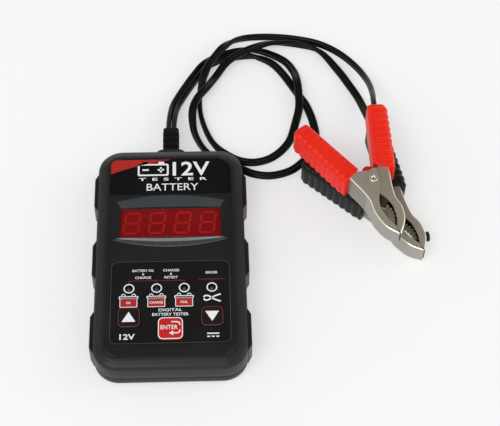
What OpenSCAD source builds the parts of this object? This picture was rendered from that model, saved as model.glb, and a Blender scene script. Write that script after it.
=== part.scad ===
// Hand-held 12 V battery tester with two clip leads.
// Origin: centre of the flat back face. +X across the case, +Y towards the cable boot, +Z out of the face.

/* [Case] */
// Length of the case, without the cable boot
case_l = 124; // [122:0.5:126]
// Width of the case, without the side grips
case_w = 72; // [71:0.5:74]
// Height of the case from the back face to the rim
case_h = 19; // [19:0.5:21]
// Corner radius of the case, seen from above
case_r = 12; // [10:0.5:14]
// Height of the joint between the two shells
split_z = 8; // [7.5:0.25:8.5]
// Wall thickness of both shells
wall = 2; // [1.8:0.1:2.2]
// Width of the rounded rim round the sunk face
rim_w = 5.5; // [5:0.25:6]
// Depth of the sunk face below the rim
face_drop = 0.5; // [0.4:0.05:0.6]

/* [Display and keypad] */
// Width of the display window
window_w = 49; // [46:0.5:50]
// Height of the display window
window_l = 16.5; // [15:0.5:17]
// Distance of the display's middle from the case's middle
window_y = 17.5; // [17:0.25:18]
// Distance between neighbouring indicator lights
led_pitch = 13; // [12.5:0.25:13.5]
// Position of the row of indicator lights
led_y = -20.2; // [-21:0.1:-20]
// Width of the up and down keys
arrow_key_w = 10.6; // [10:0.2:11]
// Width of the enter key
enter_key_w = 11.8; // [11:0.2:12]
// Travel of each key
key_travel = 0.5; // [0.3:0.05:0.5]

/* [Leads] */
// Width of the flat twin lead
lead_w = 4.4; // [4:0.1:4.6]
// Thickness of the flat twin lead
lead_t = 2.6; // [2.4:0.1:2.8]

/* [Clamps] */
// Thickness of the pressed steel of the jaws
steel_t = 1; // [0.9:0.05:1.1]
// Height of each grip
grip_h = 15; // [14.8:0.1:15.2]
// Length of each grip
grip_l = 38.5; // [37:0.5:39]
// Radius of the pivot rivet
rivet_r = 1.5; // [1.4:0.05:1.6]
// Angle by which each handle leans away from the clamp's middle line
lean = 18.4; // [17.5:0.1:19]

/* [Hidden] */
$fn = 48;

plastic = "#3a3a3b";
rubber = "#262626";
steel = "#b9b3a2";
red_plastic = "#e8230f";
black_plastic = "#222523";

half_l = case_l / 2;
half_w = case_w / 2;
face_z = case_h - face_drop;
ceiling_z = face_z - wall;
edge_z = case_h - 2;
edge_round = 5;
label_t = 0.25;
label_w = 59.6;
overlay_w = 56.6;
overlay_l = 45;
overlay_y = -27.5;
plate_w = 45.6;
plate_l = 29.6;
plate_y = 8;
key_gap = 0.3;
key_round = 2.6;

board_z = 9.6;
board_t = 1.6;
board_top = board_z + board_t;
board_w = 51;
board_l = 86;
board_y = -3;
post_x = 22;
post_y = [-42, 34];
post_r = 3;
boss_x = 27;
boss_y = 50.5;
boss_r = 3.5;
screw_r = 1.2;
screw_head_r = 2.8;
display_w = 46;
display_l = 15.5;

led_x = [for (i = [0, 1, 2, 3]) (i - 1.5) * led_pitch];
up_at = [-19.4, -35.8];
down_at = [19.4, -35.8];
enter_at = [0, -42];
stem_z = 15.2;
switch_w = 6;
led_r = 1.5;
led_hole_r = led_r + 0.25;
boot_w = 8.4;
boot_ribs = [5.5, 9.1, 12.7, 16.3];

grip_pad_l = 22;
grip_pad_y = [37.5, -2, -41.5];

// Clamp levels, from the clamp's own underside
outer_z = [1, grip_h - 1];
inner_z = [2.2, grip_h - 2.2];
teeth_z = [3.6, 10];
red_at = [99.5, 33.5, grip_h + 0.3];
red_turn = 20;
black_at = [108, 31.5, 0];
black_turn = 29.5;

// Start of a handle, and of the grip along it; thickness of the grip above and below the steel
handle_at = [-9, 5, 0];
grip_from = 0.9;
grip_wall = 0.85;
rib_pitch = 3.8;
rib_w = 1.8;
rivet_head_r = 2.2;
hole_r = rivet_r + 0.05;
bush_r = 4;

// Teeth: how many steps of 1 mm, where they start, their depth and the swell of the row
tooth_steps = 12;
tooth_from = -13;
tooth = 1;
swell = 1.5;

// Torsion spring
wire_d = 1.1;
coil_turns = 3;
coil_r = 4.8;
coil_pitch = 1.35;
coil_z = 4.1;
coil_steps = 14;
leg_z = 8.1;

// Lead routes from the boot to the clamp: x, y, height of the middle, roll of the wide side
red_route = [
    [-1.4, 82, 8, 90], [-0.9, 92, 6, 90], [0.6, 102, 3.4, 90], [4.8, 112, 2.3, 90],
    [12, 124.6, 2.3, 90], [17.9, 132.6, 2.3, 90], [28, 138.5, 2.3, 90], [39, 141.5, 2.3, 80],
    [50, 140.8, 1.7, 15], [61, 134.6, 1.5, 0], [66, 126, 2.6, 0], [67.6, 117, 4.6, 0],
    [68, 108, 4.6, 0], [67.8, 99.5, 4, 0], [65.6, 91, 1.8, 0], [61.5, 78.5, 1.4, 0],
    [53.6, 69.4, 1.4, 0], [44.5, 65.6, 1.4, 0], [35.6, 66.4, 1.4, 20], [28.6, 70.2, 2, 60],
    [22.8, 76, 2.3, 90], [18.6, 84.5, 2.3, 90], [15.6, 96, 2.3, 90], [15, 106.5, 2.5, 80],
    [15.6, 113.5, 2.8, 60], [17.3, 120, 5.6, 10], [20, 127.6, 6.4, 0], [23.8, 134, 6.4, 0],
    [28.4, 140.6, 6.3, 0], [34.4, 146.8, 4.4, 60], [43, 150.8, 2.4, 85], [56, 151, 2.3, 90],
    [69, 149.2, 2.3, 90], [81, 145.6, 2.3, 90], [91.5, 138.6, 2.4, 90], [100, 128.4, 3, 90],
    [105, 115.5, 6.5, 90], [106, 101.5, 13.6, 90], [105, 88, 21.4, 90], [105, 75.5, 22.8, 90]];
black_route = [
    [1.4, 82, 8, 90], [1.9, 92, 6, 90], [3.4, 101.3, 3.4, 90], [7.4, 110.6, 2.3, 90],
    [14.4, 122.9, 2.3, 90], [19.9, 130.4, 2.3, 90], [29.2, 135.5, 2.3, 90], [41.6, 137.4, 2.3, 80],
    [48.4, 136, 1.9, 30], [54.8, 132.4, 1.5, 5], [60.5, 124.8, 1.4, 0], [68.4, 109.6, 1.4, 0],
    [72, 102.3, 1.4, 0], [74.9, 91, 1.4, 0], [75.6, 80, 1.4, 0], [72.8, 71.5, 1.4, 0],
    [67.8, 65, 1.4, 0], [61, 59.5, 1.4, 0], [51.6, 56.8, 1.4, 0], [43, 57.8, 1.4, 0],
    [36.2, 61, 1.4, 20], [29.8, 64, 2, 50], [23, 67.6, 2.3, 90], [16.8, 74, 2.3, 90],
    [12.6, 83, 2.4, 70], [11.2, 90.5, 3.6, 40], [11.4, 97.8, 5.8, 0], [14, 105, 6.5, 0],
    [18.8, 112, 6.3, 0], [23.6, 121.2, 3.8, 10], [29.8, 129.4, 6.2, 0], [37, 135.4, 6.4, 0],
    [45.6, 140.2, 6.3, 0], [55.4, 144.6, 4.6, 45], [69.8, 145.3, 2.3, 90], [81.4, 140.4, 1.8, 45],
    [90.5, 127, 1.4, 0], [95.6, 117, 1.4, 0], [99.8, 107, 2.2, 0], [102.3, 96.5, 4.6, 0],
    [104.3, 86.4, 7.2, 0], [106.8, 73.8, 7.5, 0]];

function unit(v) = v / norm(v);

// Catmull-Rom curve through the points p, with steps pieces between neighbours
function spline_at(p, i, t) =
    let (n = len(p), a = p[max(i - 1, 0)], b = p[i], c = p[i + 1], d = p[min(i + 2, n - 1)])
    0.5 * (2 * b + (c - a) * t + (2 * a - 5 * b + 4 * c - d) * t * t
        + (3 * b - a - 3 * c + d) * t * t * t);
function spline(p, steps) =
    concat([for (i = [0:len(p) - 2], k = [0:steps - 1]) spline_at(p, i, k / steps)], [p[len(p) - 1]]);
function reversed(p) = [for (i = [len(p) - 1:-1:0]) p[i]];
function moved_x(p, d) = [for (q = p) [q[0] + d, q[1]]];
function mirrored(p) = [for (q = p) [-q[0], q[1]]];

// One ring of an oval section of w by h, rolled about the path's direction t
function ring(c, t, w, h, roll, n) =
    let (s = unit(cross(t, [0, 0, 1])), u = cross(s, t))
    [for (k = [0:n - 1])
        let (x = w / 2 * cos(360 * k / n), y = h / 2 * sin(360 * k / n))
        c + s * (x * cos(roll) - y * sin(roll)) + u * (x * sin(roll) + y * cos(roll))];

// Oval tube along path, a list of x, y, z, roll
module sweep(path, w, h, n) {
    m = len(path);
    at = [for (p = path) [p[0], p[1], p[2]]];
    dir = [for (i = [0:m - 1]) unit(at[min(i + 1, m - 1)] - at[max(i - 1, 0)])];
    points = [for (i = [0:m - 1]) each ring(at[i], dir[i], w, h, path[i][3], n)];
    sides = [for (i = [0:m - 2], k = [0:n - 1])
        let (a = i * n + k, b = i * n + (k + 1) % n)
        each [[a, b, b + n], [a, b + n, a + n]]];
    start = [[for (k = [n - 1:-1:0]) k]];
    finish = [[for (k = [0:n - 1]) (m - 1) * n + k]];
    polyhedron(points = points, faces = concat(start, sides, finish));
}

module rounded(w, l, r, h) {
    linear_extrude(h)
        union() {
            square([w - 2 * r, l], center = true);
            square([w, l - 2 * r], center = true);
            for (x = [-1, 1], y = [-1, 1])
                translate([x * (w / 2 - r), y * (l / 2 - r)]) circle(r);
        }
}

// Slice of the case outline, drawn in by inset
module case_slice(inset, z, h) {
    translate([0, 0, z])
        rounded(case_w - 2 * inset, case_l - 2 * inset, case_r - inset, h, $fn = 32);
}

module boss_places() {
    for (x = [-boss_x, boss_x], y = [-boss_y, boss_y]) translate([x, y, 0]) children();
}

module post_places() {
    for (x = [-post_x, post_x], y = post_y) translate([x, y, 0]) children();
}

// Holes for the case screws and for their heads
module screw_cuts() {
    boss_places() translate([0, 0, -1]) cylinder(h = 10, r = screw_r + 0.4);
    boss_places() translate([0, 0, -1]) cylinder(h = 3, r = screw_head_r + 0.3);
}

// Pockets for the six side pads and the hole for the boot's neck
module side_cuts() {
    for (x = [-1, 1], y = grip_pad_y)
        translate([x * (half_w - 0.8 + 5), y, 9.5]) cube([10, grip_pad_l + 0.2, 13.2], center = true);
    translate([0, half_l - 2, split_z]) cube([9, 10, 6.6], center = true);
}

module front_shell() {
    color(plastic) {
        difference() {
            hull() {
                case_slice(0, split_z, 1);
                case_slice(0, edge_z - 0.5, 0.2);
                case_slice(0.9, edge_z + 0.5, 0.2);
                case_slice(3, case_h - 0.7, 0.2);
                case_slice(rim_w - 0.6, case_h - 0.1, 0.1);
            }
            case_slice(wall, split_z - 1, edge_z - split_z - 1);
            case_slice(2 * wall, split_z - 1, ceiling_z - split_z + 1);
            translate([0, 0, face_z])
                rounded(case_w - 2 * rim_w, case_l - 2 * rim_w, case_r - rim_w + 1.5, 2);
            display_cut();
            for (at = [up_at, down_at]) key_hole(at, arrow_key_w);
            key_hole(enter_at, enter_key_w);
            led_holes();
            side_cuts();
        }
        difference() {
            boss_places() translate([0, 0, 4.8]) cylinder(h = ceiling_z - 4.6, r = boss_r);
            boss_places() translate([0, 0, 4]) cylinder(h = 10, r = screw_r + 0.05);
        }
    }
}

// Window hole, with a scoop above it and a shallow one below
module display_cut() {
    translate([0, window_y, ceiling_z - 1]) {
        linear_extrude(5) square([window_w, window_l], center = true);
    }
    translate([0, window_y - window_l / 2, face_z])
        rotate([0, 90, 0])
        linear_extrude(window_w, center = true)
        polygon([[0, -4], [1.2, 0], [1.2, window_l], [0, window_l + 6], [-1, window_l + 6], [-1, -4]]);
}

module key_hole(at, w) {
    translate([at[0], at[1], 10]) rounded(w + 2 * key_gap, w + 2 * key_gap, key_round, 10);
}

module led_holes() {
    for (x = led_x) translate([x, led_y, 10]) cylinder(h = 10, r = led_hole_r);
}

module rear_shell() {
    color(plastic) {
        difference() {
            hull() {
                for (a = [0:22.5:90])
                    case_slice(edge_round * (1 - sin(a)), edge_round * (1 - cos(a)), 0.2);
                case_slice(0, split_z - 0.2, 0.2);
            }
            case_slice(edge_round, wall, 20);
            case_slice(wall, edge_round, 20);
            screw_cuts();
            translate([0, plate_y, -1]) rounded(plate_w + 0.4, plate_l + 0.4, 2, 1.4);
            side_cuts();
        }
        difference() {
            boss_places() translate([0, 0, wall - 0.1]) cylinder(h = 2.8, r = boss_r + 0.7);
            screw_cuts();
        }
        difference() {
            post_places() translate([0, 0, wall - 0.1]) cylinder(h = board_z - wall + 0.1, r = post_r);
            post_places() translate([0, 0, 3]) cylinder(h = 10, r = 0.95);
        }
    }
}

module display_window() {
    color("#7a0a10") {
        translate([0, window_y, face_z - 1.7]) rounded(window_w - 0.3, window_l - 0.3, 0.6, 0.4);
        translate([0, window_y, ceiling_z - 0.9]) rounded(window_w + 2, window_l + 2, 0.6, 0.8);
        translate([0, window_y, ceiling_z - 0.2]) rounded(window_w - 0.3, window_l - 0.3, 0.6, 0.6);
    }
}

module led_display() {
    color("#50090c")
        translate([0, window_y, board_top]) rounded(display_w, display_l, 0.8, 4.3);
}

module top_label() {
    color("#151516") {
        translate([0, 44.75, face_z]) rounded(label_w, 21.3, 7.2, label_t);
        translate([0, 41.1, face_z]) rounded(label_w, 14, 2, label_t);
    }
}

module keypad_overlay() {
    color("#1b1b1c")
        difference() {
            translate([0, overlay_y, face_z]) rounded(overlay_w, overlay_l, 3.5, label_t);
            for (at = [up_at, down_at]) key_hole(at, arrow_key_w);
            key_hole(enter_at, enter_key_w);
            led_holes();
        }
}

module rear_label() {
    color("#8b8d8e")
        translate([0, plate_y, 0.15]) rounded(plate_w, plate_l, 1.8, label_t);
}

// Key with a cap above the face, a flange under the shell and a stem on its switch
module key(at, w, paint) {
    color(paint)
        translate([at[0], at[1], 0])
        union() {
            translate([0, 0, ceiling_z - 0.3]) rounded(w, w, 2.4, face_z - ceiling_z + 0.8);
            translate([0, 0, ceiling_z - 0.6]) rounded(w + 2.4, w + 2.4, 2.8, 0.3);
            translate([0, 0, stem_z]) cylinder(h = ceiling_z - 0.4 - stem_z, r = 2);
        }
}
module key_up() key(up_at, arrow_key_w, "#202021");
module key_down() key(down_at, arrow_key_w, "#202021");
module key_enter() key(enter_at, enter_key_w, "#b3161a");

module switch_button(at) {
    color("#101010")
        translate([at[0], at[1], stem_z - 2]) cylinder(h = 2, r = 1.7);
}
module switch_button_up() switch_button(up_at);
module switch_button_down() switch_button(down_at);
module switch_button_enter() switch_button(enter_at);

module tact_switches() {
    color("#6c6c6e")
        for (at = [up_at, down_at, enter_at])
            translate([at[0], at[1], board_top])
                difference() {
                    translate([0, 0, 1.7]) cube([switch_w, switch_w, 3.4], center = true);
                    translate([0, 0, stem_z - 2 - key_travel - 0.2 - board_top]) cylinder(h = 5, r = 1.8);
                }
}

module indicator_led(i) {
    color("#301214")
        translate([led_x[i], led_y, 0])
        union() {
            translate([0, 0, board_top]) cylinder(h = 1, r = led_r + 0.4);
            translate([0, 0, board_top]) cylinder(h = 5.9, r = led_r);
            translate([0, 0, board_top + 5.9]) sphere(r = led_r);
        }
}

module circuit_board() {
    color("#1f5a33")
        difference() {
            translate([0, board_y, board_z]) rounded(board_w, board_l, 1.5, board_t);
            post_places() cylinder(h = 20, r = 1.3);
        }
}

module board_screws() {
    color("#c8c8cc")
        post_places() {
            translate([0, 0, 5]) cylinder(h = board_top - 5, r = 0.9);
            translate([0, 0, board_top]) cylinder(h = 1.4, r = 2);
        }
}

module case_screws() {
    color("#9a9a9e")
        boss_places() {
            translate([0, 0, 0.3])
                difference() {
                    cylinder(h = 1.7, r = screw_head_r);
                    for (a = [0, 90]) rotate(a) translate([0, 0, 0.2]) cube([3, 0.7, 1], center = true);
                }
            translate([0, 0, 1.9]) cylinder(h = 10, r = screw_r);
        }
}

module microcontroller() {
    color("#17181a")
        translate([0, -4, board_top]) rounded(10, 10, 0.4, 1.4);
}

module voltage_regulator() {
    color("#17181a")
        translate([-17, -4, board_top]) rounded(6.5, 6, 0.3, 2.3);
}

module capacitors() {
    color("#3b4252")
        for (x = [13, 20]) translate([x, -6, board_top]) cylinder(h = 4.6, r = 2.5);
}

module load_resistor() {
    color("#e6e2d6")
        translate([0, 14, board_z - 3.2]) cube([25, 6.4, 6.4], center = true);
}

// Four conductors from the boot, over the board's edge, to their pads
module inner_wires() {
    color("#a01818")
        for (x = [-3.4, -1.2, 1.2, 3.4])
            sweep([[x, half_l - 5.6, split_z, 0], [x, half_l - 7.6, split_z, 0], [1.3 * x, 50, 9.8, 0],
                [1.6 * x, 44, 12.4, 0], [1.8 * x, 39, 12.4, 0], [1.8 * x, 33, 12.3, 0]], 2, 2, 8);
}

module cable_boot() {
    color(rubber) {
        translate([0, half_l - 4, split_z + 0.6]) cube([13, 3.2, 6.8], center = true);
        translate([0, half_l, split_z]) cube([8.6, 6, 6.2], center = true);
        hull() {
            translate([0, half_l + 0.4, split_z + 1]) cube([16.5, 0.6, 10], center = true);
            translate([0, half_l + 3.8, split_z + 1]) cube([13, 0.6, 8.4], center = true);
        }
        translate([0, half_l + 11, split_z]) cube([7, 17.4, 5.4], center = true);
        for (y = boot_ribs)
            translate([0, half_l + y, split_z]) cube([boot_w, 2.3, 6.4], center = true);
        translate([0, half_l + 19.2, split_z]) cube([8, 1.6, 6], center = true);
    }
}

// Rubber pad on the side wall, thinner towards both ends and ribbed
module side_grip(side, y) {
    color(rubber)
        translate([side * (half_w - 0.7), y, 3])
        scale([side, 1, 1])
        union() {
            linear_extrude(13)
                polygon([[0, -grip_pad_l / 2], [0.7, -grip_pad_l / 2], [2, -grip_pad_l / 2 + 2.5],
                    [2, grip_pad_l / 2 - 2.5], [0.7, grip_pad_l / 2], [0, grip_pad_l / 2]]);
            for (k = [-4:4])
                translate([1, 2 * k - 0.5, 0.8]) cube([1.4, 1, 11.4]);
        }
}

module lead(route) {
    color(rubber) sweep(route, lead_w, lead_t, 8);
}

// ---- Clamp, drawn with its rivet at the origin and its handles towards +Y ----

// Outline points of the moving half, which carries the outer plates
outer_edge = [[-10.6, 4], [-9.6, 0.5], [-8, -5], [-7, -11.5], [-7.5, -18.5], [-5.6, -27], [-1.2, -33]];
lens_moving = [[-0.8, -28.6], [-2.6, -24], [-3.5, -18.5], [-3, -13.5], [-0.5, -8.4]];
lens_fixed = [[0, -8.7], [2, -12.4], [2.8, -17], [2.1, -23], [-0.3, -28.6]];
tang = [[-2.2, -3], [3.7, -1], [3.7, 26], [-2.2, 26]];

function handle_point(q) = [handle_at[0] + q[0] * cos(lean) - q[1] * sin(lean),
    handle_at[1] + q[0] * sin(lean) + q[1] * cos(lean)];

moving_curve = spline(outer_edge, 4);
fixed_edge = [[10.6, 4], [9.6, 0.5], [7.4, -7], [6.4, -13], [7.1, -18.5], [5.2, -26], [-0.2, -32.8]];
fixed_curve = spline(fixed_edge, 4);

module moving_plate() {
    polygon(concat(moving_curve, spline(lens_moving, 4),
        [[2.9, -1.8], [3.9, 5.2], [3.1, 6.2], [0.1, 5.4], [-5.4, 6.7], [-9, 6]]));
    polygon([for (q = tang) handle_point(q)]);
}

module fixed_plate() {
    polygon(concat(reversed(fixed_curve), [[9, 6], [5.6, 6.5]], [[0, 4]], spline(lens_fixed, 4)));
    circle(r = 5.5);
    polygon(mirrored([for (q = tang) handle_point(q)]));
}

module web_strip(curve, side) {
    inner = moved_x(curve, side * steel_t * 1.1);
    polygon(concat(moved_x(curve, -side * 0.5), reversed(inner)));
    start = [[-2.2, -4], [-2.2 + steel_t, -4], [-2.2 + steel_t, 26], [-2.2, 26]];
    placed = [for (q = start) handle_point(q)];
    polygon(side > 0 ? placed : mirrored(placed));
}

// Channel of pressed steel: two plates joined by a web along the outer edge
module jaw_moving() {
    color(steel)
        difference() {
            union() {
                for (z = [outer_z[0], outer_z[1] - steel_t])
                    translate([0, 0, z]) linear_extrude(steel_t) moving_plate();
                translate([0, 0, outer_z[0]])
                    linear_extrude(outer_z[1] - outer_z[0])
                    intersection() {
                        moving_plate();
                        web_strip(moving_curve, 1);
                    }
            }
            translate([0, 0, -1]) cylinder(h = grip_h + 2, r = hole_r);
        }
}

module jaw_fixed() {
    color(steel)
        difference() {
            union() {
                for (z = [inner_z[0], inner_z[1] - steel_t])
                    translate([0, 0, z]) linear_extrude(steel_t) fixed_plate();
                translate([0, 0, inner_z[0]])
                    linear_extrude(inner_z[1] - inner_z[0])
                    intersection() {
                        fixed_plate();
                        web_strip(fixed_curve, -1);
                    }
            }
            translate([0, 0, -1]) cylinder(h = grip_h + 2, r = hole_r);
        }
}

// Toothed strip across the inside of a jaw, with its teeth towards the other jaw
module teeth(side) {
    back = side < 0 ? [[-5.9, -12], [-6.2, -18.5], [-4.4, -26]] : [[4.9, -12], [5.5, -18.5], [3.6, -25.5]];
    root = side < 0 ? 1.9 : 1.3;
    edge = [for (k = [tooth_steps:-1:0])
        [side * (root + swell * sin(180 * k / tooth_steps) - (k % 2) * tooth), tooth_from - k]];
    color(steel)
        translate([0, 0, teeth_z[0]])
        linear_extrude(teeth_z[1] - teeth_z[0])
        polygon(concat(spline(back, 4), edge));
}

// Grip in its own handle frame: x towards the other handle, y along the handle
module grip_shape() {
    inside = 6.2;
    outside = -5.2;
    end = grip_from + grip_l;
    difference() {
        union() {
            linear_extrude(grip_h - 0.5)
                polygon([[inside, grip_from], [-5, grip_from - 1.2], [outside, grip_from + 2],
                    [outside, end - 1.3], [outside + 1.2, end], [inside - 2.2, end],
                    [inside - 1, end - 1.3]]);
            for (k = [0:8])
                translate([outside - 0.4, grip_from + 3.4 + rib_pitch * k, 0]) cube([10, rib_w, grip_h]);
        }
        translate([-2.9, -12, grip_wall]) cube([7, 39.5, grip_h - 2 * grip_wall]);
        translate([0, end + 1, grip_h / 2]) rotate([90, 0, 0]) cylinder(h = 14, r = 2.6);
    }
}

module grip_moving() {
    difference() {
        translate(handle_at) rotate(lean) grip_shape();
        translate([0, 0, grip_wall]) cylinder(h = grip_h - 2 * grip_wall, r = 10);
    }
}

module grip_fixed() {
    mirror([1, 0, 0]) grip_moving();
}

module rivet() {
    color("#d8d5cc")
        union() {
            translate([0, 0, 0.4]) cylinder(h = grip_h - 0.8, r = rivet_r);
            translate([0, 0, outer_z[1] + 0.1])
                difference() {
                    cylinder(h = 0.8, r = rivet_head_r);
                    translate([0, 0, 0.3]) cylinder(h = 1, r = 0.9);
                }
            translate([0, 0, 0.2]) cylinder(h = 0.7, r = rivet_head_r);
        }
}

module spring_bush(paint) {
    color(paint)
        difference() {
            union() {
                translate([0, 0, inner_z[0] + steel_t + 0.1])
                    cylinder(h = inner_z[1] - inner_z[0] - 2 * steel_t - 0.2, r = bush_r);
                translate([0, 0, 9])
                    hull() {
                        cylinder(h = inner_z[1] - steel_t - 9.1, r = bush_r);
                        translate([0.5, 6.6, 0]) cylinder(h = inner_z[1] - steel_t - 9.1, r = 3);
                    }
            }
            cylinder(h = grip_h, r = hole_r);
        }
}

// Torsion spring coil round the bush, running out into the fixed handle
module spring_coil() {
    leg = [[14, 22, coil_z, 0], [9, 8, coil_z, 0]];
    coil = [for (k = [0:coil_steps * coil_turns])
        let (a = -20 - 360 * k / coil_steps)
        [coil_r * cos(a), coil_r * sin(a), coil_z + coil_pitch * k / coil_steps, 0]];
    color("#a9a9a6") sweep(concat(leg, coil), wire_d, wire_d, 8);
}

module spring_leg() {
    color("#a9a9a6")
        sweep([[-6.2, 1.2, leg_z, 0], [-9, 8, leg_z, 0], [-14, 22, leg_z, 0]], wire_d, wire_d, 8);
}

// Crimp that joins the lead to the fixed handle
module crimp() {
    color("#c9944f")
        mirror([1, 0, 0])
        translate(handle_at)
        rotate(lean)
        translate([0.7, grip_l - 6.2, grip_h / 2])
        rotate([90, 0, 0])
        cylinder(h = 10, r = 1.8);
}

module stud() {
    color(black_plastic)
        translate([6.15, -24.5, grip_h / 2]) rotate([0, 90, -22]) cylinder(h = 2, r = 2.5);
}

module red_clamp() translate(red_at) rotate(red_turn) children();
module black_clamp() translate(black_at) rotate(black_turn) children();

front_shell();
rear_shell();
display_window();
led_display();
top_label();
keypad_overlay();
rear_label();
key_up();
key_down();
key_enter();
switch_button_up();
switch_button_down();
switch_button_enter();
tact_switches();
indicator_led(0);  // indicator_led_1
indicator_led(1);  // indicator_led_2
indicator_led(2);  // indicator_led_3
indicator_led(3);  // indicator_led_4
circuit_board();
board_screws();
case_screws();
microcontroller();
voltage_regulator();
capacitors();
load_resistor();
inner_wires();
cable_boot();
side_grip(-1, grip_pad_y[0]);  // side_grip_left_1
side_grip(-1, grip_pad_y[1]);  // side_grip_left_2
side_grip(-1, grip_pad_y[2]);  // side_grip_left_3
side_grip(1, grip_pad_y[0]);  // side_grip_right_1
side_grip(1, grip_pad_y[1]);  // side_grip_right_2
side_grip(1, grip_pad_y[2]);  // side_grip_right_3
lead(red_route);  // lead_red
lead(black_route);  // lead_black
red_clamp() jaw_fixed();  // red_jaw_fixed
red_clamp() jaw_moving();  // red_jaw_moving
red_clamp() teeth(1);  // red_teeth_fixed
red_clamp() teeth(-1);  // red_teeth_moving
red_clamp() color(red_plastic) grip_fixed();  // red_grip_fixed
red_clamp() color(red_plastic) grip_moving();  // red_grip_moving
red_clamp() rivet();  // red_rivet
red_clamp() spring_bush(red_plastic);  // red_spring_bush
red_clamp() spring_coil();  // red_spring_coil
red_clamp() spring_leg();  // red_spring_leg
red_clamp() crimp();  // red_crimp
black_clamp() jaw_fixed();  // black_jaw_fixed
black_clamp() jaw_moving();  // black_jaw_moving
black_clamp() teeth(1);  // black_teeth_fixed
black_clamp() teeth(-1);  // black_teeth_moving
black_clamp() color(black_plastic) grip_fixed();  // black_grip_fixed
black_clamp() color(black_plastic) grip_moving();  // black_grip_moving
black_clamp() rivet();  // black_rivet
black_clamp() spring_bush(black_plastic);  // black_spring_bush
black_clamp() spring_coil();  // black_spring_coil
black_clamp() spring_leg();  // black_spring_leg
black_clamp() crimp();  // black_crimp
black_clamp() stud();  // black_stud
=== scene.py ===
import bpy, bmesh
from math import acos, cos, degrees, pi, radians, sin, sqrt
from mathutils import Matrix, Vector


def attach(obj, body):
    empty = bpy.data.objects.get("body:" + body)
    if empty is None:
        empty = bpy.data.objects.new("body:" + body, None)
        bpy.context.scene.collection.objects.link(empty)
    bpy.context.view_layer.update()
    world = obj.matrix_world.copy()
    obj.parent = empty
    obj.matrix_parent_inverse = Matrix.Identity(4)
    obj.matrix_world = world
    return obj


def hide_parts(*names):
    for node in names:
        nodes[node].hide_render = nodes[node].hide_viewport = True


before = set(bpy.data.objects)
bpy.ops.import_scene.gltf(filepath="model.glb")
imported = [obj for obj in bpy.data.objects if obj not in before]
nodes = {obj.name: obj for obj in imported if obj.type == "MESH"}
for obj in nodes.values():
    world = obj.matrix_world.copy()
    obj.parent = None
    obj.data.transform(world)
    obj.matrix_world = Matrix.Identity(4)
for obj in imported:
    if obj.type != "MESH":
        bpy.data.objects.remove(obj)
bpy.context.view_layer.update()
MM = 0.001
scene = bpy.context.scene

# ------------ camera
AZIMUTH, ELEVATION, ROLL = radians(3.22), radians(55.46), radians(1.6)
CAMERA_AT = (0.01787, -0.35162, 0.56202)
look = Vector((sin(AZIMUTH) * cos(ELEVATION), cos(AZIMUTH) * cos(ELEVATION), -sin(ELEVATION)))
right = Vector((cos(AZIMUTH), -sin(AZIMUTH), 0))
up = right.cross(look)
cam_x = cos(ROLL) * right + sin(ROLL) * up
cam_y = -sin(ROLL) * right + cos(ROLL) * up
camera = bpy.data.objects.new("Camera", bpy.data.cameras.new("Camera"))
scene.collection.objects.link(camera)
turned = Matrix((cam_x, cam_y, -look)).transposed().to_4x4()
camera.matrix_world = Matrix.Translation(CAMERA_AT) @ turned
camera.data.sensor_width = 36
camera.data.lens = 97.04
camera.data.clip_start = 0.01
camera.data.clip_end = 20
scene.camera = camera
scene.view_settings.view_transform = "Standard"

# ------------ light


def soft_light(name, at, target, size, power):
    """Rectangular area lamp that stands at at and faces target."""
    data = bpy.data.lights.new(name, "AREA")
    data.shape = "RECTANGLE"
    data.size, data.size_y = size
    data.energy = power
    lamp = bpy.data.objects.new(name, data)
    scene.collection.objects.link(lamp)
    lamp.location = at
    lamp.rotation_mode = "QUATERNION"
    lamp.rotation_quaternion = (Vector(target) - Vector(at)).to_track_quat("-Z", "Y")


soft_light("Key", (-0.55, -0.9, 1.5), (0.03, 0.04, 0), (0.9, 0.7), 11)
soft_light("Horizon", (0.1, 1.6, 0.35), (0.03, 0.05, 0), (2.2, 0.35), 3.5)
soft_light("Side", (1.4, 0.1, 0.5), (0.05, 0.05, 0), (0.4, 0.9), 3)

# a pale sky with one dark patch, which the flat glossy faces mirror towards the camera
DARK_TOWARDS = (0.0, 0.50, 0.866)
SKY_TONES = ((0.30, 1.0), (0.66, 0.85), (0.86, 0.22), (1.0, 0.08))
world = bpy.data.worlds.new("Studio")
scene.world = world
world.use_nodes = True
sky = world.node_tree
sky.nodes.clear()
where = sky.nodes.new("ShaderNodeTexCoord")
facing = sky.nodes.new("ShaderNodeVectorMath")
facing.operation = "DOT_PRODUCT"
facing.inputs[1].default_value = DARK_TOWARDS
band = sky.nodes.new("ShaderNodeValToRGB")
glow = sky.nodes.new("ShaderNodeBackground")
world_out = sky.nodes.new("ShaderNodeOutputWorld")
for i, (at, tone) in enumerate(SKY_TONES):
    stop = band.color_ramp.elements[i] if i < 2 else band.color_ramp.elements.new(at)
    stop.position = at
    stop.color = (tone, tone, tone * 0.99, 1)
glow.inputs["Strength"].default_value = 1.0
sky.links.new(where.outputs["Generated"], facing.inputs[0])
sky.links.new(facing.outputs["Value"], band.inputs[0])
sky.links.new(band.outputs[0], glow.inputs[0])
sky.links.new(glow.outputs[0], world_out.inputs[0])

# ------------ materials
FINE_SHARE, ROUGH_SPREAD, EDGE_COLOUR_MOST, COAT_ROUGH = 0.45, 0.06, 0.8, 0.05


def noise(tree, place, scale, detail):
    """Output of a noise texture over the vectors of the socket place."""
    texture = tree.nodes.new("ShaderNodeTexNoise")
    texture.inputs["Scale"].default_value = scale
    texture.inputs["Detail"].default_value = detail
    tree.links.new(place, texture.inputs["Vector"])
    return texture.outputs["Fac"]


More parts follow.
